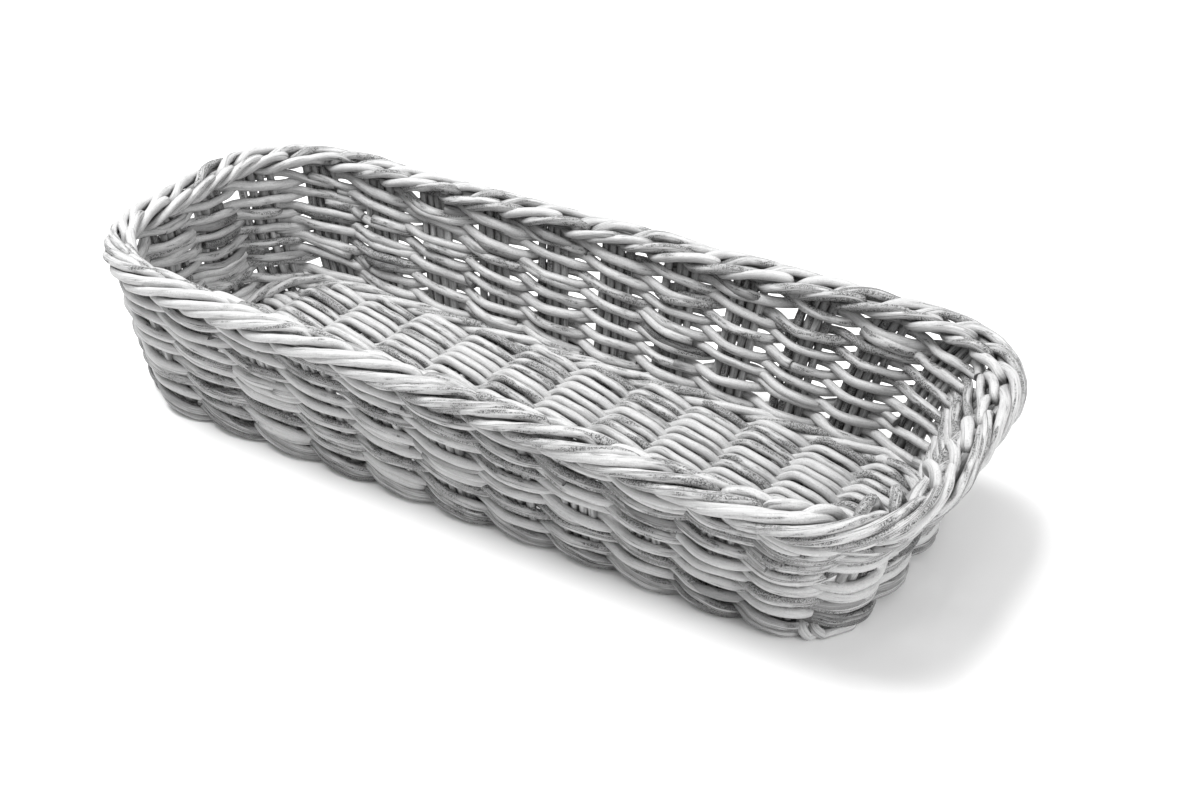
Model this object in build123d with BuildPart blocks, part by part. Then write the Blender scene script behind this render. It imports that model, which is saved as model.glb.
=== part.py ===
from build123d import *
import os
from math import cos, pi, radians, sin, sqrt

# A long, low basket woven from round rods. X runs along it, Y across it, and it stands on z = 0. All lengths are mm.
# The wall follows one middle line, a rounded rectangle that grows from the floor to the rim.
FLOOR_LOOP = (179.9, 60.2, 36.3)  # half length, half width and corner radius at FLOOR_Z
RIM_LOOP = (194.2, 73.9, 46.9)  # the same at RIM_Z
FLOOR_Z = 5.95  # middle of the rods that cross the floor
RIM_Z = 67.5  # middle of the rolled rim

STATIONS = 30  # groups of stakes round the wall
SIDE_STATION = 5  # last station of a long side, counted from its middle
END_STATIONS = (6, 7, 8, 9)  # stations of the right end, counted counter-clockwise from the middle of the front
RODS_IN_GROUP = 4
ROD_PITCH = 3.4
ROD_R = 1.6
GAP = 0.1  # left between rods that would touch

STRAND_R = 1.75  # weavers
WAVE = 4.6  # how far a wall weaver swings to each side of the middle line
WALL_LAYERS = 15
WALL_LOW_Z = 9.9
WALL_HIGH_Z = 61.1

BEND_R = 5.0  # where a stake turns up into the wall
END_LEG = 6.5  # how far an end stake reaches in along the floor

FLOOR_WAVE = 3.95  # how far a floor weaver swings above and below those rods
FLOOR_WEAVERS = 27
FLOOR_PITCH = 3.75
TAIL = 5.0  # how far a weaver runs level past its last stake group
TAIL_END = 12.0  # how far a long weaver then runs on, back to mid height
SHORT_WEAVERS = 4  # weavers at each edge of the floor that end with the tail, clear of the rounded corners

FOOT_INNER = (2.15, -3.8, 2.05)  # radius, offset outwards from the middle line, height
FOOT_OUTER = (2.2, 3.0, 4.4)

CORE_R = 2.6
RIM_ROD_R = 1.55
RIM_SWING = CORE_R + RIM_ROD_R + GAP
RIM_RUN = 39.0  # how far along the rim one rod travels
RIM_FROM, RIM_TO = -42.0, 206.0  # degrees round the core, 0 pointing outwards and 90 up
RIM_STOPS = 5  # along one rod

HALFWAY = STATIONS // 2
SMALL_STEP = 1e-4
LAYER_PITCH = (WALL_HIGH_Z - WALL_LOW_Z) / (WALL_LAYERS - 1)


def loop_at(z):
    """The wall's middle line at height z, as half length, half width and corner radius."""
    rise = (z - FLOOR_Z) / (RIM_Z - FLOOR_Z)
    return [low + rise * (high - low) for low, high in zip(FLOOR_LOOP, RIM_LOOP)]


def loop_runs(loop):
    """Its straight and curved lengths, counter-clockwise from the left end of the front."""
    half_length, half_width, radius = loop
    arc = pi * radius / 2
    return [2 * (half_length - radius), arc, 2 * (half_width - radius), arc] * 2


def on_loop(loop, along):
    """The point a distance counter-clockwise from the left end of the straight front, and the heading there."""
    half_length, half_width, radius = loop
    point, heading = Vector(radius - half_length, -half_width), 0.0
    left = along % sum(loop_runs(loop))
    for number, length in enumerate(loop_runs(loop)):
        step = min(left, length)
        ahead, inward = Vector(cos(heading), sin(heading)), Vector(-sin(heading), cos(heading))
        if number % 2:
            turn = step / radius
            point += ahead * (radius * sin(turn)) + inward * (radius * (1 - cos(turn)))
            heading += turn
        else:
            point += ahead * step
        left -= step
        if left <= 0:
            break
    return point, heading


def wall_point(z, station, offset=0.0):
    """A point of the wall, its station counted from the middle of the front and its offset outwards."""
    loop = loop_at(z)
    runs = loop_runs(loop)
    point, heading = on_loop(loop, runs[0] / 2 + station * sum(runs) / STATIONS)
    return point + Vector(sin(heading), -cos(heading)) * offset + Vector(0, 0, z), heading


def biarc_joint(start, start_dir, end, end_dir):
    """Where two arcs meet that leave start and reach end in the given directions, and their direction there."""
    across, both = end - start, start_dir + end_dir
    slack = 2 * (1 - start_dir.dot(end_dir))
    reach = across.dot(across) / (across.dot(both) + sqrt(across.dot(both) ** 2 + slack * across.dot(across)))
    before, after = start + start_dir * reach, end - end_dir * reach
    return (before + after) / 2, after - before


def smooth_run(stops):
    """Tangent arcs and lines through a row of (point, direction), drawn inside a BuildLine."""
    for (start, start_dir), (end, end_dir) in zip(stops, stops[1:]):
        if (end - start).cross(start_dir).length < 1e-6:
            Line(start, end)
        else:
            joint, joint_dir = biarc_joint(start, start_dir, end, end_dir)
            TangentArc(start, joint, tangent=start_dir)
            TangentArc(joint, end, tangent=joint_dir)


def bent_run(points, radius):
    """Straight lines between points, with the corners rounded, drawn inside a BuildLine."""
    start = points[0]
    for before, corner, after in zip(points, points[1:], points[2:]):
        come, go = (corner - before).normalized(), (after - corner).normalized()
        trim = radius * sqrt((1 - come.dot(go)) / (1 + come.dot(go)))
        Line(start, corner - come * trim)
        TangentArc(corner - come * trim, corner + go * trim, tangent=come)
        start = corner + go * trim
    Line(start, points[-1])


def ring_stops(radius_offset, z):
    """The corners' ends of the wall's middle line at height z, offset outwards, for a closed smooth run."""
    loop = [size + radius_offset for size in loop_at(z)]
    stops, along = [], 0.0
    for length in loop_runs(loop) + [0.0]:
        point, heading = on_loop(loop, along)
        stops.append((point + Vector(0, 0, z), Vector(cos(heading), sin(heading))))
        along += length
    return stops


def wave_stops(z, first_side):
    """A closed weaver's swings at height z: outside one station and inside the next."""
    stops = []
    for station in range(STATIONS + 1):
        point, heading = wall_point(z, station % STATIONS, WAVE * first_side * (-1) ** station)
        stops.append((point, Vector(cos(heading), sin(heading))))
    return stops


def floor_stops(y, first_side, short):
    """A floor weaver's swings, over one stake group and under the next, with level tails."""
    stops = []
    for station in range(-SIDE_STATION, SIDE_STATION + 1):
        middle, heading = wall_point(FLOOR_Z, station)
        stops.append(Vector(middle.X, y, FLOOR_Z + FLOOR_WAVE * first_side * (-1) ** station))
    stops = [stops[0] - Vector(TAIL), *stops, stops[-1] + Vector(TAIL)]
    if not short:
        low, high = stops[0] - Vector(TAIL_END), stops[-1] + Vector(TAIL_END)
        stops = [Vector(low.X, y, FLOOR_Z), *stops, Vector(high.X, y, FLOOR_Z)]
    return [(point, Vector(1, 0, 0)) for point in stops]


def stake_ends(station, shift):
    """Where one rod of a group meets the floor and the rim, its shift counter-clockwise from the station."""
    ends = []
    for z in (FLOOR_Z, RIM_Z - CORE_R - GAP):
        point, heading = wall_point(z, station)
        ends.append(point + Vector(cos(heading), sin(heading)) * shift)
    return ends


def end_stake_run(station, shift):
    """One rod of a short end: in along the floor, then up to the rim."""
    foot, top = stake_ends(station, shift)
    heading = wall_point(FLOOR_Z, station)[1]
    return [foot + Vector(-sin(heading), cos(heading)) * END_LEG, foot, top]


def rim_rod_point(start, share):
    """A point of a rod wrapped slantwise round the rim's core, at a share of its way from outside to inside."""
    point, heading = on_loop(loop_at(RIM_Z), start + share * RIM_RUN)
    turn = radians(RIM_FROM + share * (RIM_TO - RIM_FROM))
    outward = Vector(sin(heading), -cos(heading))
    return point + outward * (RIM_SWING * cos(turn)) + Vector(0, 0, RIM_Z + RIM_SWING * sin(turn))


def rim_rod_stops(start):
    """The points and directions that one rim rod runs through."""
    shares = [step / (RIM_STOPS - 1) for step in range(RIM_STOPS)]
    return [
        (
            rim_rod_point(start, share),
            (rim_rod_point(start, share + SMALL_STEP) - rim_rod_point(start, share - SMALL_STEP)).normalized(),
        )
        for share in shares
    ]


def round_rod(path, radius):
    """Sweep a round section along a BuildLine, inside a BuildPart."""
    line = path.wires()[0]
    with BuildSketch(Plane(origin=line @ 0, z_dir=line % 0)) as section:
        Circle(radius)
    sweep(sections=section.sketch, path=line)


group_shifts = [(rod - (RODS_IN_GROUP - 1) / 2) * ROD_PITCH for rod in range(RODS_IN_GROUP)]
os.makedirs("parts", exist_ok=True)

# Stakes that run up the front wall from the rim, across the floor and up the back wall
for station in range(-SIDE_STATION, SIDE_STATION + 1):
    with BuildPart() as cross_stakes:
        for shift in group_shifts:
            front_foot, front_top = stake_ends(station, shift)
            back_foot, back_top = stake_ends(HALFWAY - station, -shift)
            with BuildLine() as path:
                bent_run([front_top, front_foot, back_foot, back_top], BEND_R)
            round_rod(path, ROD_R)
    name = f"cross_stakes_{station + SIDE_STATION + 1:02d}"
    cross_stakes.part.label = name
    export_step(cross_stakes.part, f"parts/{name}.step")

# Stakes of the two short ends
for side, first in (("right", 0), ("left", HALFWAY)):
    with BuildPart() as end_stakes:
        for station in END_STATIONS:
            for shift in group_shifts:
                with BuildLine() as path:
                    bent_run(end_stake_run(first + station, shift), BEND_R)
                round_rod(path, ROD_R)
    name = f"end_stakes_{side}"
    end_stakes.part.label = name
    export_step(end_stakes.part, f"parts/{name}.step")

# Floor weavers, those that pass over the middle stakes and those that pass under them
for first_side, word in ((1, "over"), (-1, "under")):
    with BuildPart() as floor_weavers:
        for row in range(FLOOR_WEAVERS):
            if (-1) ** row != first_side:
                continue
            from_middle = row - (FLOOR_WEAVERS - 1) / 2
            short = min(row, FLOOR_WEAVERS - 1 - row) < SHORT_WEAVERS
            with BuildLine() as path:
                smooth_run(floor_stops(from_middle * FLOOR_PITCH, first_side, short))
            round_rod(path, STRAND_R)
    name = f"floor_weavers_{word}"
    floor_weavers.part.label = name
    export_step(floor_weavers.part, f"parts/{name}.step")

# Wall weavers, closed strands that swing the opposite way on every other layer
for layer in range(WALL_LAYERS):
    with BuildPart() as wall_strand:
        with BuildLine() as path:
            smooth_run(wave_stops(WALL_LOW_Z + layer * LAYER_PITCH, (-1) ** layer))
        round_rod(path, STRAND_R)
    name = f"wall_strand_{layer + 1:02d}"
    wall_strand.part.label = name
    export_step(wall_strand.part, f"parts/{name}.step")

# Plain strands round the foot, pressed flat where they would pass below z = 0, and the core of the rim
rings = {"foot_strand_inner": FOOT_INNER, "foot_strand_outer": FOOT_OUTER, "rim_core": (CORE_R, 0.0, RIM_Z)}
for name, (radius, offset, z) in rings.items():
    with BuildPart() as ring:
        with BuildLine() as path:
            smooth_run(ring_stops(offset, z))
        round_rod(path, radius)
        split(bisect_by=Plane.XY, keep=Keep.TOP)
    ring.part.label = name
    export_step(ring.part, f"parts/{name}.step")

# Rim rods, four for each station
rim_pitch = sum(loop_runs(loop_at(RIM_Z))) / (STATIONS * RODS_IN_GROUP)
rim_start = loop_runs(loop_at(RIM_Z))[0] / 2
side_rods = (2 * SIDE_STATION + 1) * RODS_IN_GROUP
end_rods = len(END_STATIONS) * RODS_IN_GROUP
first_rod = -side_rods // 2
for side, count in (("front", side_rods), ("right", end_rods), ("back", side_rods), ("left", end_rods)):
    with BuildPart() as rim_rods:
        for rod in range(first_rod, first_rod + count):
            with BuildLine() as path:
                smooth_run(rim_rod_stops(rim_start + (rod + 0.5) * rim_pitch - RIM_RUN / 2))
            round_rod(path, RIM_ROD_R)
    name = f"rim_rods_{side}"
    rim_rods.part.label = name
    export_step(rim_rods.part, f"parts/{name}.step")
    first_rod += count
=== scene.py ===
import math
import bpy
import numpy as np
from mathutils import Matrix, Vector


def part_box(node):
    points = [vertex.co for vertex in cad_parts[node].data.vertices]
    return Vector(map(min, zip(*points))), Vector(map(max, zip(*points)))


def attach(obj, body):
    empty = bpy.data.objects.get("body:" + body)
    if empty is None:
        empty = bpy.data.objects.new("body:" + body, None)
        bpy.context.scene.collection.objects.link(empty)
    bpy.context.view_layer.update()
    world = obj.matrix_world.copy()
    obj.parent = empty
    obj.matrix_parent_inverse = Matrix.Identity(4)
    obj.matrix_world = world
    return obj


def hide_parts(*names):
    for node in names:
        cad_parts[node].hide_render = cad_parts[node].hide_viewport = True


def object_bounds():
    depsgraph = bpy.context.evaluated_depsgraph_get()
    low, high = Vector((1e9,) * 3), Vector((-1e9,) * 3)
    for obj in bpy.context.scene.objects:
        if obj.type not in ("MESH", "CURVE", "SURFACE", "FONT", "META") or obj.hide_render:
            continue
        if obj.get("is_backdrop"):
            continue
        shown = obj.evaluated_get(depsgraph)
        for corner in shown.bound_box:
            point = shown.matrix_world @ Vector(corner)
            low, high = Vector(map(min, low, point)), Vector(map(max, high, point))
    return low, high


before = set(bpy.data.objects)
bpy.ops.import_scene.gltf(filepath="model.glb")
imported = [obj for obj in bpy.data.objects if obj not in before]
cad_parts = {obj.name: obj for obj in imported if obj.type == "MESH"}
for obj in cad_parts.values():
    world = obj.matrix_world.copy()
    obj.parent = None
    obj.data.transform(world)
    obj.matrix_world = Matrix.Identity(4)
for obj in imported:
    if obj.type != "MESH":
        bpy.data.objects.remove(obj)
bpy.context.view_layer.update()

# The basket is woven here strand by strand, in millimetres, round the loops of the CAD frame.
# A station is the place of a stake group: 0 is the middle of the front, and they count up anticlockwise.
MM = 0.001
STATIONS = 30
SIDE_STATION = 5  # the last station of a long side, counted from its middle
HALFWAY = STATIONS // 2
UP = np.array([0.0, 0.0, 1.0])

rng = np.random.default_rng(11)
ANY_PHASE = 6.3  # a random phase lies between nought and this
EITHER_WAY = (-1, 1)


def low_mm(node):
    return np.array(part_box(node)[0]) / MM


def high_mm(node):
    return np.array(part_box(node)[1]) / MM


CAD_CORE_R, CAD_FOOT_R, CAD_STAKE_R = 2.6, 2.15, 1.6  # the radii of the CAD's rods
CAD_FOOT_OFFSET = -3.8  # where its inner foot strand lies, outwards from the wall's middle line
CORNER_FOOT, CORNER_RIM = 36.3, 46.9

# The wall's middle line at the rim and at the foot: half its length, half its width and its corner radius
core_low, core_high = low_mm("rim_core"), high_mm("rim_core")
RIM = np.array([core_high[0] - CAD_CORE_R, core_high[1] - CAD_CORE_R, CORNER_RIM])
RIM_Z = (core_low[2] + core_high[2]) / 2
foot_high = high_mm("foot_strand_inner")
FOOT = np.array([foot_high[0] - CAD_FOOT_R - CAD_FOOT_OFFSET, foot_high[1] - CAD_FOOT_R - CAD_FOOT_OFFSET,
                 CORNER_FOOT])
FOOT_Z = foot_high[2] - CAD_FOOT_R
FLOOR_Z = low_mm("cross_stakes_06")[2] + CAD_STAKE_R

# How far the hand-made rim lies from the regular frame's at its four corners
LEAN_FRONT_LEFT, LEAN_FRONT_RIGHT = np.array([1.8, 5.8, 2.6]), np.array([0.0, -6.6, -2.4])
LEAN_BACK_RIGHT, LEAN_BACK_LEFT = np.array([-1.3, 1.4, 0.4]), np.array([-3.6, -3.2, -1.0])
HIGHEST_RISE = 1.1  # the lean grows up to this many times the rim's height
FRONT_TUCK, END_TUCK = 2.2, 12.0  # how much further in than the frame's the foot is, in front and at the right
LEFT_BULGE = 4.6  # how far the left end bulges outwards
BULGE_SCALE = 6.75  # brings x (1 - x)^2 to 1 at its highest


def warp(p):
    """Shape the regular loops as the real basket is: a leaning rim, a tucked foot and a bulging left end."""
    rise = np.clip(p[:, 2] / RIM_Z, 0, HIGHEST_RISE)[:, None]
    u = np.clip(p[:, 0] / (2 * RIM[0]) + 0.5, 0, 1)[:, None]
    v = np.clip(p[:, 1] / (2 * RIM[1]) + 0.5, 0, 1)[:, None]
    lean = (1 - u) * (1 - v) * LEAN_FRONT_LEFT + u * (1 - v) * LEAN_FRONT_RIGHT
    lean = lean + u * v * LEAN_BACK_RIGHT + (1 - u) * v * LEAN_BACK_LEFT
    part = np.clip(rise, 0, 1)
    right, left = (np.clip(end * p[:, :1] / RIM[0], 0, 1) ** 2 for end in (1, -1))
    tuck = np.hstack([-END_TUCK * right, FRONT_TUCK * (1 - v), 0 * v]) * (1 - part**4)
    bulge = np.hstack([-LEFT_BULGE * left, 0 * v, 0 * v]) * BULGE_SCALE * part * (1 - part) ** 2
    return p + lean * rise + tuck + bulge


def on_loop(station, z):
    """X, Y and heading on the wall's middle line, for arrays of station numbers and heights."""
    station, z = np.broadcast_arrays(np.asarray(station, float), np.asarray(z, float))
    rise = (z - FOOT_Z) / (RIM_Z - FOOT_Z)
    a, b, r = (low + rise * (high - low) for low, high in zip(FOOT, RIM))
    long, short, arc = 2 * (a - r), 2 * (b - r), math.pi * r / 2
    half = long + short + 2 * arc
    d = (long / 2 + station / STATIONS * 2 * half) % (2 * half)
    flip = np.where(d >= half, -1.0, 1.0)
    d = np.where(d >= half, d - half, d)
    t1 = (d - long) / r
    t2 = (d - long - arc - short) / r
    where = [d < long, d < long + arc, d < long + arc + short]
    x = np.select(where, [d - long / 2, a - r + r * np.sin(t1), a], a - r + r * np.cos(t2))
    y = np.select(where, [-b, -(b - r) - r * np.cos(t1), -(b - r) + d - long - arc], b - r + r * np.sin(t2))
    h = np.select(where, [0 * d, t1, 0 * d + math.pi / 2], math.pi / 2 + t2)
    h = np.where(flip < 0, h + math.pi, h)
    return x * flip, y * flip, h


def outward(station, z=0.0):
    """Level directions out of the wall."""
    h = on_loop(station, z)[2]
    return np.stack([np.sin(h), -np.cos(h), 0 * h], -1)


def wall(station, offset, z):
    """Points beside the middle line, offset outwards."""
    x, y, h = on_loop(station, z)
    z = np.broadcast_to(z, x.shape)
    return np.stack([x + offset * np.sin(h), y - offset * np.cos(h), z], -1)


def wander(s, size, waves=4, fastest=1.6, slowest=0.25):
    """A smooth random line of about the given size along s."""
    out = np.zeros_like(s)
    for _ in range(waves):
        out += rng.normal() * np.sin(rng.uniform(slowest, fastest) * s + rng.uniform(0, ANY_PHASE))
    return out * size / math.sqrt(waves / 2)


class Bundle:
    """Strands gathered into one mesh, with the facts that the rattan material reads."""

    FLOOR_GAP = 1.12  # the lowest a rod's middle lies, in radii
    WIDTH_PLAY = 0.035  # how much a rod's thickness varies along it
    TIP = 0.3  # how thick the tip of a pointed end is
    OVAL = (0.02, 0.09)  # how far from round a rod is
    SPLIT_SHARE = 0.35  # the share of rods that have a groove along them
    SPLIT_SIDE, SPLIT_DEPTH, SPLIT_WIDTH = 1.2, 0.2, 0.38
    END_STAIN, STAIN_REACH = 0.8, 6  # how dark a rod's ends are, and how far in mm that reaches
    SHIFT_ALONG = 5000  # starts each rod's grain at another place

    def __init__(self):
        self.points, self.quads, self.ends, self.facts, self.count = [], [], [], [], 0

    def strand(self, path, side, radius, rounds=10, taper=(0.0, 0.0), tone=None, stain_and_shade=0.0):
        """A rod along path. side points to its outer face, and rounds is the number of points round it.

        taper has the lengths of its pointed ends in mm, tone picks its patches of wear, and the last argument
        darkens it all along: real stains, and on the stakes painted shade.
        """
        path = warp(np.asarray(path))
        path[:, 2] = np.maximum(path[:, 2], radius * self.FLOOR_GAP)
        step = np.gradient(path, axis=0)
        ahead = step / np.linalg.norm(step, axis=1)[:, None]
        side = np.broadcast_to(side, path.shape)
        out = side - ahead * (side * ahead).sum(1)[:, None]
        out /= np.linalg.norm(out, axis=1)[:, None]
        across = np.cross(ahead, out)
        along = np.r_[0, np.cumsum(np.linalg.norm(np.diff(path, axis=0), axis=1))]
        width = radius * (1 + wander(along, self.WIDTH_PLAY, waves=3, fastest=0.5))
        for end, length in zip((along, along[-1] - along), taper):
            if length:
                width = width * (self.TIP + (1 - self.TIP) * np.sqrt(np.clip(end / length, 0, 1)))
        turn = np.linspace(0, 2 * math.pi, rounds, endpoint=False)
        shape = 1 + rng.uniform(*self.OVAL) * np.cos(2 * (turn - rng.uniform(0, math.pi)))
        if rng.random() < self.SPLIT_SHARE:
            split = rng.uniform(-self.SPLIT_SIDE, self.SPLIT_SIDE)
            beside = (turn - split + math.pi) % (2 * math.pi) - math.pi
            shape = shape - self.SPLIT_DEPTH * np.exp(-((beside / self.SPLIT_WIDTH) ** 2))
        ring = out[:, None] * np.cos(turn)[None, :, None] + across[:, None] * np.sin(turn)[None, :, None]
        points = path[:, None] + ring * (width[:, None] * shape[None])[..., None]
        n = len(path)
        here = self.count + np.arange(n * rounds).reshape(n, rounds)
        beyond = np.roll(here, -1, axis=1)
        self.quads.append(np.stack([here[:-1], beyond[:-1], beyond[1:], here[1:]], -1).reshape(-1, 4))
        self.ends += [here[0][::-1], here[-1]]
        tone = rng.random() if tone is None else tone
        from_end = np.minimum(along, along[-1] - along)
        facts = np.zeros((n, rounds, 4))
        facts[..., 0] = (along + rng.uniform(0, self.SHIFT_ALONG))[:, None]
        facts[..., 1], facts[..., 2] = turn, tone
        facts[..., 3] = (stain_and_shade + self.END_STAIN * np.exp(-from_end / self.STAIN_REACH))[:, None]
        self.points.append(points.reshape(-1, 3))
        self.facts.append(facts.reshape(-1, 4))
        self.count += n * rounds

    def piece(self, name, *nodes):
        """Make the mesh object that stands for those CAD nodes."""
        points, quads = np.concatenate(self.points) * MM, np.concatenate(self.quads)
        facts = np.ascontiguousarray(np.concatenate(self.facts).T, np.float32)
        sizes = np.r_[np.full(len(quads), 4), [len(e) for e in self.ends]]
        corners = np.concatenate([quads.ravel(), *self.ends]).astype(np.int32)
        is_end = np.r_[np.zeros(len(quads), bool), np.ones(len(self.ends), bool)]
        mesh = bpy.data.meshes.new(name)
        mesh.vertices.add(len(points))
        mesh.vertices.foreach_set("co", points.astype(np.float32).ravel())
        mesh.loops.add(len(corners))
        mesh.loops.foreach_set("vertex_index", corners)
        mesh.polygons.add(len(sizes))
        mesh.polygons.foreach_set("loop_start", np.r_[0, np.cumsum(sizes)[:-1]].astype(np.int32))
        mesh.polygons.foreach_set("use_smooth", ~is_end)
        mesh.update()
        for fact, values in zip(("along", "turn", "tone", "stain_and_shade"), facts):
            mesh.attributes.new(fact, "FLOAT", "POINT").data.foreach_set("value", values)
        mesh.attributes.new("cut", "FLOAT", "FACE").data.foreach_set("value", is_end.astype(np.float32))
        mesh.materials.append(rattan)
        mesh.validate()
        piece = bpy.data.objects.new(name, mesh)
        bpy.context.collection.objects.link(piece)
        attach(piece, "root")
        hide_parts(*nodes)


def rattan_material():
    """Greywashed rattan: pale wash over darker fibre, worn in streaks and speckles."""
    material = bpy.data.materials.new("greywashed_rattan")
    material.use_nodes = True
    tree = material.node_tree
    shader = tree.nodes["Principled BSDF"]

    def put(socket, value):
        """Set a socket to a value, or link it to another node's socket."""
        if isinstance(value, bpy.types.NodeSocket):
            tree.links.new(value, socket)
        else:
            socket.default_value = value

    def node(kind, inputs, **settings):
        made = tree.nodes.new(kind)
        for key, value in settings.items():
            setattr(made, key, value)
        for key, value in inputs.items():
            put(made.inputs[key], value)
        return made

    def fact(name):
        return node("ShaderNodeAttribute", {}, attribute_name=name).outputs["Fac"]

    def math_node(operation, *values, clamp=False):
        return node("ShaderNodeMath", dict(enumerate(values)), operation=operation, use_clamp=clamp).outputs[0]

    def noise(across, along, detail, roughness, seed):
        """Noise on the strand's own surface, stretched along it and other for each tone."""
        turn = fact("turn")
        where = node("ShaderNodeCombineXYZ", {
            "X": math_node("MULTIPLY", math_node("COSINE", turn), across),
            "Y": math_node("MULTIPLY", math_node("SINE", turn), across),
            "Z": math_node("MULTIPLY", fact("along"), along),
        })
        made = node("ShaderNodeTexNoise", {
            "Vector": where.outputs[0],
            "W": math_node("MULTIPLY_ADD", fact("tone"), 37.0, seed),
            "Scale": 1.0, "Detail": detail, "Roughness": roughness,
        }, noise_dimensions="4D")
        return made.outputs["Fac"]

    def ramp(value, *stops):
        """A grey for each value, through stops of a value and its grey."""
        made = node("ShaderNodeValToRGB", {"Fac": value})
        elements = made.color_ramp.elements
        while len(elements) < len(stops):
            elements.new(0.5)
        for element, (place, grey) in zip(elements, stops):
            element.position, element.color = place, (grey, grey, grey, 1)
        return made.outputs["Color"]

    def mix(factor, a, b, how="MIX"):
        inputs = {"Factor": factor, "A": a, "B": b}
        return node("ShaderNodeMix", inputs, data_type="RGBA", blend_type=how).outputs["Result"]

    fibre = noise(across=3.2, along=0.16, detail=4.0, roughness=0.6, seed=1.0)
    speckle = noise(across=3.5, along=2.0, detail=4.0, roughness=0.75, seed=5.0)
    patch = noise(across=0.8, along=0.07, detail=3.0, roughness=0.6, seed=9.0)
    stain = noise(across=0.7, along=0.03, detail=3.0, roughness=0.6, seed=14.0)

    # Where the wash is worn off: speckles, mostly in patches, and faint streaks
    worn = ramp(math_node("ADD", patch, math_node("MULTIPLY", fact("tone"), 0.26)), (0.65, 0.0), (0.75, 1.0))
    flecks = ramp(speckle, (0.42, 0.0), (0.56, 1.0))
    streaks = ramp(fibre, (0.5, 0.0), (0.68, 1.0))
    worn_flecks = math_node("MULTIPLY", flecks, math_node("MULTIPLY_ADD", worn, 0.85, 0.16))
    wear = math_node("MAXIMUM", worn_flecks, math_node("MULTIPLY", streaks, 0.3), clamp=True)

    # The wash, its frosted grain, the fibre under it, and stains, cut ends and the stakes' painted shade over
    # both
    wash = ramp(fibre, (0.3, 0.29), (0.5, 0.42), (0.75, 0.49))
    wash = mix(1.0, wash, ramp(speckle, (0.36, 0.66), (0.48, 1.0), (0.64, 1.16)), "MULTIPLY")
    grime = ramp(speckle, (0.35, 0.012), (0.7, 0.07))
    # Darker patches: real stains, the rods' stained ends, and on the stakes painted shade for the gaps where
    # they show
    stain_and_shade_mask = ramp(math_node("ADD", stain, math_node("MULTIPLY", fact("stain_and_shade"), 0.3)), (0.58, 0.0), (0.72, 1.0))
    shade = math_node("MAXIMUM", math_node("MULTIPLY", stain_and_shade_mask, 0.8), fact("cut"))
    colour = mix(shade, mix(wear, wash, grime), (0.34, 0.34, 0.34, 1), "MULTIPLY")

    relief = math_node("SUBTRACT", math_node("MULTIPLY", fibre, 0.7), math_node("MULTIPLY", wear, 0.55))
    bump = node("ShaderNodeBump", {"Strength": 0.7, "Distance": 0.00025, "Height": relief})
    put(shader.inputs["Base Color"], colour)
    put(shader.inputs["Roughness"], ramp(wear, (0.0, 0.52), (1.0, 0.82)))
    put(shader.inputs["Specular IOR Level"], 0.35)
    put(shader.inputs["Normal"], bump.outputs["Normal"])
    return material


rattan = rattan_material()

# Wall rows: two strands twined round each other, one outside each stake group and one inside
WALL_ROWS = 7
ROW_LOW, ROW_PITCH = 13.4, 7.75
STRAND_R = 2.28
STRAND_WIDTHS = (0.88, 1.06)
SWING = 3.9  # how far a strand swings out and in
SWING_FLAT = 0.08  # how much its swing is flattened where it passes a stake group
TWIST, TWIST_SOFT = -2.0, 0.35  # how far the two strands pass above and below each other, and how gradually
STEPS = 22  # points for each station
WALL_LAYERS = 15  # single strands in the CAD wall
JOINS_APART = (11, 19)  # stations from a strand's first join to its second
JOIN_BEFORE, JOIN_AFTER = (0.25, 0.5), (0.1, 0.35)  # how far its rods overlap there, in stations
SPLICES = 4  # extra lengths laid beside each strand, where new rods were worked in
SPLICE_RUN = (1.3, 3.4)  # stations
SPLICE_BESIDE, SPLICE_SPREAD = (1.9, 2.6), 0.5  # how far above or below its strand it lies, and outside it
SPLICE_TIP, SPLICE_SKINS = (4, 12), (0.0, 0.0, 0.9)
DRIFTS, DRIFT, DRIFT_WAVES = 5, 0.42, (2, 14)  # how a row rises and falls, in waves round the basket


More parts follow.
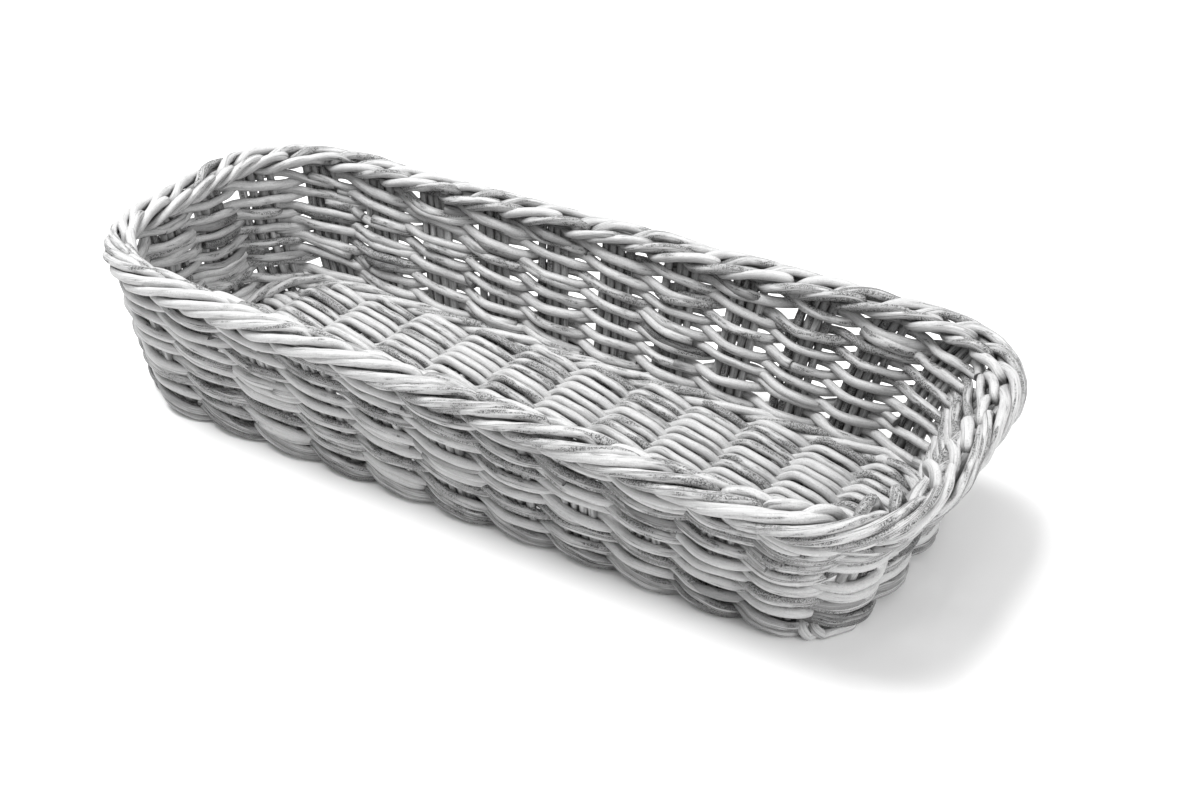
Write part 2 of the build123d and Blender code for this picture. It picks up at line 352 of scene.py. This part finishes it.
def wall_strand(bundle, row, side, drift):
    """One strand of a row, laid as two rods whose ends overlap at their joins, and doubled here and there."""
    first = rng.uniform(0, STATIONS)
    joins = [first, first + rng.uniform(*JOINS_APART), first + STATIONS]
    spans = [(a - rng.uniform(*JOIN_BEFORE), b + rng.uniform(*JOIN_AFTER), 0.0, 0.0)
             for a, b in zip(joins, joins[1:])]
    for _ in range(SPLICES):
        start = rng.uniform(0, STATIONS)
        end = start + rng.uniform(*SPLICE_RUN)
        spans.append((start, end, rng.choice(EITHER_WAY) * rng.uniform(*SPLICE_BESIDE), SPLICE_SPREAD))
    for start, end, beside, spread in spans:
        taper, stain_and_shade = (0.0, 0.0), 0.0
        if beside:
            taper = (rng.uniform(*SPLICE_TIP), 0.0)[::rng.choice(EITHER_WAY)]
            stain_and_shade = rng.choice(SPLICE_SKINS)
        s = np.linspace(start, end, int((end - start) * STEPS))
        swing = side * np.cos(math.pi * s)
        widest = SWING + spread + wander(s, 0.4, waves=5, fastest=2.6)
        offset = swing * (1 + SWING_FLAT - SWING_FLAT * swing**2) * widest
        offset = offset + wander(s, 0.35, waves=4, fastest=2.0)
        turn = np.sin(math.pi * s)
        z = ROW_LOW + row * ROW_PITCH + side * TWIST * turn * (TWIST_SOFT + (1 - TWIST_SOFT) * turn**2)
        z = z + beside + wander(s, 0.6, waves=5, fastest=4.2)
        for size, speed, phase in drift:
            z = z + size * np.sin(speed * s * 2 * math.pi / STATIONS + phase)
        bundle.strand(wall(s, offset, z), outward(s), STRAND_R * rng.uniform(*STRAND_WIDTHS), taper=taper,
                      stain_and_shade=stain_and_shade)


RING_OFFSET, RING_Z, RING_SWING, RING_TWIST, RING_HUMP = -6.4, 10.5, 1.7, 1.5, 0.5
RING_R = STRAND_R * 0.92
RING_LENGTH = STATIONS * 1.01  # once round, and a little over itself


def floor_ring(bundle):
    """The twined pair that covers the bend of the stakes inside the basket."""
    for side in (1, -1):
        s = np.linspace(0, RING_LENGTH, STATIONS * STEPS)
        offset = RING_OFFSET + side * RING_SWING * np.cos(math.pi * s) + wander(s, 0.4)
        z = RING_Z + side * RING_TWIST * np.sin(math.pi * s) + RING_HUMP * np.cos(2 * math.pi * s)
        z = z + wander(s, 0.3)
        bundle.strand(wall(s, offset, z), outward(s), RING_R)


for row in range(WALL_ROWS):
    bundle = Bundle()
    drift = [(rng.normal(0, DRIFT), rng.integers(*DRIFT_WAVES), rng.uniform(0, ANY_PHASE))
             for _ in range(DRIFTS)]
    for side in (1, -1):
        wall_strand(bundle, row, side, drift)
    if row == 0:
        floor_ring(bundle)
    low, high = (round(number * WALL_LAYERS / WALL_ROWS) for number in (row, row + 1))
    bundle.piece(f"wall_row_{row + 1}", *(f"wall_strand_{n + 1:02d}" for n in range(low, high)))

# Stakes: rods in groups, U-shaped across the basket, and turned in at the foot round its ends
GROUP = 4
PITCH = 4.2
ROD_R = 2.0
ROD_WIDTHS = (0.92, 1.06)
BEND_R = 6.0
STAKE_TOP = RIM_Z - 2
# The stakes are darker all over: their own tone, and painted shade for the gaps between the wall rows where
# they show
STAKE_TONE_AND_SHADE = 0.64
STAKE_ROUNDS = 8
STAKE_PLAY, STAKE_PLAY_STEP = 0.22, 0.1
ARC_POINTS = 9  # points in a rounded corner
TURNED_IN = 14  # how far in under the floor an end stake's foot reaches
END_SPREAD = 1.2  # how much wider the groups fan out round the ends


def bent(points, radius, spacing=2.2):
    """A polyline with rounded corners, resampled evenly."""
    out = [points[0]]
    for before, corner, after in zip(points, points[1:], points[2:]):
        come, go = corner - before, after - corner
        come, go = come / np.linalg.norm(come), go / np.linalg.norm(go)
        trim = radius * math.sqrt((1 - come @ go) / (1 + come @ go))
        a, b = corner - come * trim, corner + go * trim
        t = np.linspace(0, 1, ARC_POINTS)[:, None]
        out += list((1 - t) ** 2 * a + 2 * t * (1 - t) * corner + t**2 * b)
    out = np.array(out + [points[-1]])
    d = np.r_[0, np.cumsum(np.linalg.norm(np.diff(out, axis=0), axis=1))]
    s = np.linspace(0, d[-1], int(d[-1] / spacing))
    return np.stack([np.interp(s, d, out[:, k]) for k in range(3)], -1)


def group_shifts(spread=1.0, play=0.3):
    """How far each rod of a group stands from the group's station."""
    return (np.arange(GROUP) - (GROUP - 1) / 2) * PITCH * spread + rng.normal(0, play * spread, GROUP)


def stake_end(station, shift, z):
    x, y, h = (float(v) for v in on_loop(station, z))
    return np.array([x + math.cos(h) * shift, y + math.sin(h) * shift, z])


def stake(bundle, path, side):
    """A stake, with a little play, as no rod is quite straight."""
    s = np.arange(len(path)) * STAKE_PLAY_STEP
    path = path + np.stack([wander(s, STAKE_PLAY), wander(s, STAKE_PLAY), 0 * s], -1)
    bundle.strand(path, side, ROD_R * rng.uniform(*ROD_WIDTHS), STAKE_ROUNDS, stain_and_shade=STAKE_TONE_AND_SHADE)


for number, station in enumerate(range(-SIDE_STATION, SIDE_STATION + 1)):
    bundle = Bundle()
    for shift, back_shift in zip(group_shifts(), group_shifts()):
        front = [stake_end(station, shift, z) for z in (STAKE_TOP, FLOOR_Z)]
        back = [stake_end(HALFWAY - station, -back_shift, z) for z in (FLOOR_Z, STAKE_TOP)]
        stake(bundle, bent(front + back, BEND_R), np.array([1.0, 0, 0]))
    bundle.piece(f"cross_stake_group_{number + 1:02d}", f"cross_stakes_{number + 1:02d}")

for side, first in (("right", 0), ("left", HALFWAY)):
    bundle = Bundle()
    for station in range(first + SIDE_STATION + 1, first + HALFWAY - SIDE_STATION):
        inward = -outward(np.array([float(station)]), FLOOR_Z)[0]
        for shift in group_shifts(END_SPREAD):
            foot = stake_end(station, shift, FLOOR_Z)
            path = bent([foot + inward * TURNED_IN, foot, stake_end(station, shift, STAKE_TOP)], BEND_R)
            stake(bundle, path, np.array([inward[1], -inward[0], 0]))
    bundle.piece(f"end_stake_group_{side}", f"end_stakes_{side}")

# Floor: rows of two twined strands along the basket, humped over the stake groups
FLOOR_ROWS = 18
FLOOR_PITCH = 6.1
FLOOR_R = 2.08
FLOOR_STEP = 1.35
FLOOR_OFFSET = -4.0  # where the floor ends, outwards from the middle line
ROW_SHORT = 1.0  # how far before it each row ends
HUMP, HUMP_FLAT = 4.0, 0.1  # how high the waves are, and how much flatter their tops
HUMP_LIFT = 0.9  # how much more they go up than down
SIDESTEP = 1.8  # how far the two strands of a row pass beside each other
LEAD = 0.17  # how far each hump leans along the row, in stations
EDGE = 0.35  # over how many stations the humps fade out at a row's end
station_pitch = float(on_loop(1.0, FLOOR_Z)[0])


def floor_end(y, offset):
    """How far along X the floor reaches at y."""
    a, b, r = FOOT + offset
    past = abs(y) - (b - r)
    return a if past <= 0 else a - r + math.sqrt(max(r * r - past * past, 0))


halves = {"over": Bundle(), "under": Bundle()}
for row in range(FLOOR_ROWS):
    y = (row - (FLOOR_ROWS - 1) / 2) * FLOOR_PITCH
    end = floor_end(y, FLOOR_OFFSET) - ROW_SHORT
    for side, word in ((1, "over"), (-1, "under")):
        s = np.linspace(-end, end, int(2 * end / FLOOR_STEP)) / station_pitch
        lead = LEAD * (1 - np.cos(2 * math.pi * s)) / 2 + wander(s, 0.02, waves=3, fastest=2.0)
        hump = side * np.cos(math.pi * (s - lead))
        hump = hump * (1 + HUMP_FLAT - HUMP_FLAT * hump**2)
        edge = np.clip((end / station_pitch - np.abs(s)) / EDGE, 0, 1)
        z = FLOOR_Z + hump * (HUMP + HUMP_LIFT * hump + wander(s, 0.25, waves=4, fastest=2.5)) * edge
        beside = y - side * SIDESTEP * np.sin(math.pi * s) + wander(s, 0.5, waves=5, fastest=2.2)
        path = np.stack([s * station_pitch, beside, z], -1)
        halves[word].strand(path, UP, FLOOR_R * rng.uniform(*ROD_WIDTHS))
for word, bundle in halves.items():
    bundle.piece(f"floor_weave_{word}", f"floor_weavers_{word}")

# Foot: bundles that come out high beside one stake group and hook under the basket before the next
# Their offsets and heights, a quarter of a station apart
FOOT_OUT = [0.8, 4.3, 5.2, 4.5, 1.2, -3.5, -5.0, -3.4]
FOOT_UP = [7.8, 6.6, 4.9, 3.0, 1.95, 1.85, 1.85, 2.7]
# The foot wales are made darker all along
WALE_R, WALE_DARKENING = 1.9, 0.6
WALE_LENGTH = STATIONS + 0.4
UPPER_LEAD, UPPER_LIFT, UPPER_IN, UPPER_UNDER = 0.04, 3.1, 0.3, 3.4  # how the upper wale lies from the lower
UNDER_FADE = 3  # mm inside the middle line where a strand is wholly under the basket


def looped(values, phase):
    """Catmull-Rom through values that repeat every two stations, the first at phase -0.5."""
    values = np.array(values)
    t = ((phase + 0.5) * 4) % 8
    i = t.astype(int)
    t = t - i
    p0, p1, p2, p3 = (values[(i + k) % 8] for k in (-1, 0, 1, 2))
    return p1 + 0.5 * t * (p2 - p0 + t * (2 * p0 - 5 * p1 + 4 * p2 - p3 + t * (3 * (p1 - p2) + p3 - p0)))


for word, upper, node in (("lower", 0.0, "foot_strand_inner"), ("upper", 1.0, "foot_strand_outer")):
    bundle = Bundle()
    for side in (0, 1):
        first = rng.uniform(0, STATIONS)
        s = np.linspace(first, first + WALE_LENGTH, STATIONS * STEPS)
        phase = s - side - UPPER_LEAD * upper
        offset = looped(FOOT_OUT, phase) + wander(s, 0.25, waves=4, fastest=2.0)
        under = np.clip(-offset / UNDER_FADE, 0, 1)
        outside = 1 - under
        offset = offset - UPPER_UNDER * upper * under - UPPER_IN * upper * outside
        z = looped(FOOT_UP, phase) + UPPER_LIFT * upper * outside
        z = z + wander(s, 0.3, waves=5, fastest=2.0) * outside
        bundle.strand(wall(s, offset, z), outward(s), WALE_R, stain_and_shade=WALE_DARKENING)
    bundle.piece(f"foot_wale_{word}", node)

# Rim: a core of rods, stake ends wrapped slantwise over it, and a row of tucked tips on the inside
CORE_RODS, CORE_TWIST, CORE_SPREAD, CORE_R, CORE_ROUNDS, CORE_SKIN = 3, 0.55, 1.7, 1.9, 8, 0.8
CORE_LENGTH, CORE_STEPS = STATIONS * 1.004, 12
RIM_STEPS = 26  # points for each station
RIM_TUCKED = 0.45  # how far from the core's line a rim rod's ends lie, as a share of its reach
bundle = Bundle()
for rod in range(CORE_RODS):
    s = np.linspace(0, CORE_LENGTH, STATIONS * CORE_STEPS)
    turn = s * CORE_TWIST + rod * 2 * math.pi / CORE_RODS
    path = wall(s, CORE_SPREAD * np.cos(turn), RIM_Z)
    path[:, 2] += CORE_SPREAD * np.sin(turn)
    bundle.strand(path, UP, CORE_R, CORE_ROUNDS, stain_and_shade=CORE_SKIN)
bundle.piece("rim_bundle", "rim_core")


def smooth(t, marks, values):
    """A soft line through values at evenly spaced marks."""
    reach = 11  # points of fine on each side that the line is softened over
    fine = np.linspace(-0.25, 1.25, 121)
    kernel = np.hanning(2 * reach + 1)
    soft = np.convolve(np.interp(fine, marks, values), kernel / kernel.sum(), "valid")
    return np.interp(t, fine[reach:-reach], soft)


def rim_rod(bundle, start, run, turns, reach, rise, radius, taper):
    """A rod wrapped round the rim.

    turns are its angles on the way, and reach its distances from the core's line. rise is the share of its
    length that it takes to come up from the core, and to go back in at its end.
    """
    t = np.linspace(0, 1, int(run * RIM_STEPS))
    marks = np.linspace(0, 1, len(turns))
    angle = np.radians(smooth(t, marks, turns))
    lift = np.clip(np.minimum(t / rise[0], (1 - t) / rise[1]), 0, 1)
    far = smooth(t, marks, reach) * (RIM_TUCKED + (1 - RIM_TUCKED) * np.sin(lift * math.pi / 2))
    far = far + wander(t * 6, 0.12, waves=3)
    s = start + run * t
    path = wall(s, far * np.cos(angle), RIM_Z)
    path[:, 2] += far * np.sin(angle)
    side = outward(s) * np.cos(angle)[:, None] + UP * np.sin(angle)[:, None]
    bundle.strand(path, side, radius, taper=taper)


# Each rod that is wrapped over the rim has a shorter one tucked in beside it on the inside
OVER_TURNS, OVER_REACH = np.array([-60, -18, 22, 52, 84, 152]), np.array([3.9, 4.8, 5.2, 5.7, 6.3, 3.9])
TUCK_TURNS, TUCK_REACH = np.array([130, 138, 154, 178, 226]), np.array([5.5, 6.6, 6.3, 5.5, 4.6])
OVER_R, OVER_WIDTHS, TUCK_R, TUCK_WIDTHS = 2.08, (0.92, 1.08), 2.2, (0.9, 1.08)
OVER_BEFORE, TUCK_BEFORE, TUCK_STEP = 1.1, 0.1, 0.06  # how far before its place each starts, in stations
OVER_RUN, TUCK_RUN, RUN_PLAY, START_PLAY = (1.95, 0.07), 1.1, 0.05, 0.035
# The inner rods stand up in loose loops round one station: how they differ there
LOOSE_AT, LOOSE_WIDTH = 6.1, 1.6
LOOSE_OVER_TURNS = np.array([0, 0, 0, 0, 0, -44])
LOOSE_TURNS, LOOSE_REACH = np.array([42, 34, 26, 6, 0]), np.array([-0.8, 4.4, 5.2, 2.4, 0])
LOOSE_SHORTER = 0.58

LONG_GROUPS, SHORT_GROUPS = 2 * SIDE_STATION + 1, HALFWAY - 2 * SIDE_STATION - 1
sides = (
    ("front", -SIDE_STATION - 0.5, LONG_GROUPS),
    ("right", SIDE_STATION + 0.5, SHORT_GROUPS),
    ("back", HALFWAY - SIDE_STATION - 0.5, LONG_GROUPS),
    ("left", HALFWAY + SIDE_STATION + 0.5, SHORT_GROUPS),
)
for name, first, groups in sides:
    bundle = Bundle()
    for i in range(groups * 2):
        start = first + i / 2 + rng.normal(0, START_PLAY)
        loose = math.exp(-(((start - LOOSE_AT) / LOOSE_WIDTH) ** 2))
        turns = OVER_TURNS + loose * LOOSE_OVER_TURNS + rng.normal(0, 5)
        reach = OVER_REACH + rng.normal(0, 0.35)
        rim_rod(bundle, start - OVER_BEFORE, rng.normal(*OVER_RUN), turns, reach, rise=(0.16, 0.12),
                radius=OVER_R * rng.uniform(*OVER_WIDTHS), taper=(13.0, 5.0))
        turns = TUCK_TURNS - loose * LOOSE_TURNS + rng.normal(0, 6)
        reach = TUCK_REACH + loose * LOOSE_REACH + rng.normal(0, 0.3)
        run = rng.normal(TUCK_RUN - LOOSE_SHORTER * loose, RUN_PLAY)
        rim_rod(bundle, start - TUCK_BEFORE - TUCK_STEP * (i % 2), run, turns, reach, rise=(0.1, 0.25),
                radius=TUCK_R * rng.uniform(*TUCK_WIDTHS), taper=(2.0, 12.0))
    bundle.piece(f"rim_wrap_{name}", f"rim_rods_{name}")

# Two rod ends that curl out from under the near right corner, as stations, offsets and heights
LOOSE_ENDS = [
    [(5.40, 0.0, 6.0), (5.42, 5.2, 5.2), (5.52, 6.2, 1.6), (5.78, 3.5, 2.2)],
    [(5.54, 0.0, 6.0), (5.57, 5.4, 5.2), (5.7, 6.5, 1.6), (6.05, 5.6, 2.2), (6.4, 0.0, 3.5)],
]
LOOSE_END_R, LOOSE_END_BEND, LOOSE_END_SPACING, LOOSE_END_TONE = 1.85, 2.2, 0.7, 0.25
bundle = Bundle()
for places in LOOSE_ENDS:
    points = [wall(station, offset, z) for station, offset, z in places]
    first_station = places[0][0]
    path = bent(points, LOOSE_END_BEND, LOOSE_END_SPACING)
    bundle.strand(path, outward(first_station), LOOSE_END_R, tone=LOOSE_END_TONE)
bundle.piece("foot_loose_ends", "foot_strand_outer")

# Floor, light and camera, in metres
STUDIO = 6
floor_material = bpy.data.materials.new("studio_floor")
floor_material.use_nodes = True
floor_shader = floor_material.node_tree.nodes["Principled BSDF"]
floor_shader.inputs["Base Color"].default_value = (0.76, 0.76, 0.76, 1)
floor_shader.inputs["Roughness"].default_value = 0.9
mesh = bpy.data.meshes.new("studio_floor")
floor_corners = [(x * STUDIO, y * STUDIO, 0) for x, y in ((-1, -1), (1, -1), (1, 1), (-1, 1))]
mesh.from_pydata(floor_corners, [], [(0, 1, 2, 3)])
mesh.materials.append(floor_material)
floor = bpy.data.objects.new("studio_floor", mesh)
bpy.context.collection.objects.link(floor)
floor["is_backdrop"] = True

world = bpy.data.worlds.new("studio")
bpy.context.scene.world = world
world.use_nodes = True
world.node_tree.nodes["Background"].inputs["Color"].default_value = (1, 1, 1, 1)
world.node_tree.nodes["Background"].inputs["Strength"].default_value = 0.75
LIT = Vector((0, 0, 0.03))


def area_light(name, place, size, power):
    data = bpy.data.lights.new(name, "AREA")
    data.size, data.energy = size, power
    light = bpy.data.objects.new(name, data)
    light.location = place
    light.rotation_euler = (LIT - Vector(place)).to_track_quat("-Z", "Y").to_euler()
    bpy.context.collection.objects.link(light)


area_light("key", place=(-0.5, -0.1, 1.5), size=0.95, power=51)
area_light("fill", place=(1.4, -0.35, 0.52), size=0.8, power=16)
bpy.context.scene.view_settings.view_transform = "Standard"

AZIMUTH, ELEVATION, DISTANCE = math.radians(31.1), math.radians(32.9), 0.772
TARGET = Vector((0.0278, 0.0064, 0.0291))
SENSOR = 36
FOCAL_WIDTHS = 1829 / 1200  # the focal length over the picture's width
towards = Vector((math.sin(AZIMUTH) * math.cos(ELEVATION), -math.cos(AZIMUTH) * math.cos(ELEVATION),
                  math.sin(ELEVATION)))
camera_data = bpy.data.cameras.new("camera")
camera_data.sensor_width = SENSOR
camera_data.lens = SENSOR * FOCAL_WIDTHS
camera_data.clip_start = 0.01
camera = bpy.data.objects.new("camera", camera_data)
camera.location = TARGET + towards * DISTANCE
camera.rotation_euler = towards.to_track_quat("Z", "Y").to_euler()
bpy.context.collection.objects.link(camera)
bpy.context.scene.camera = camera

low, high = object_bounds()
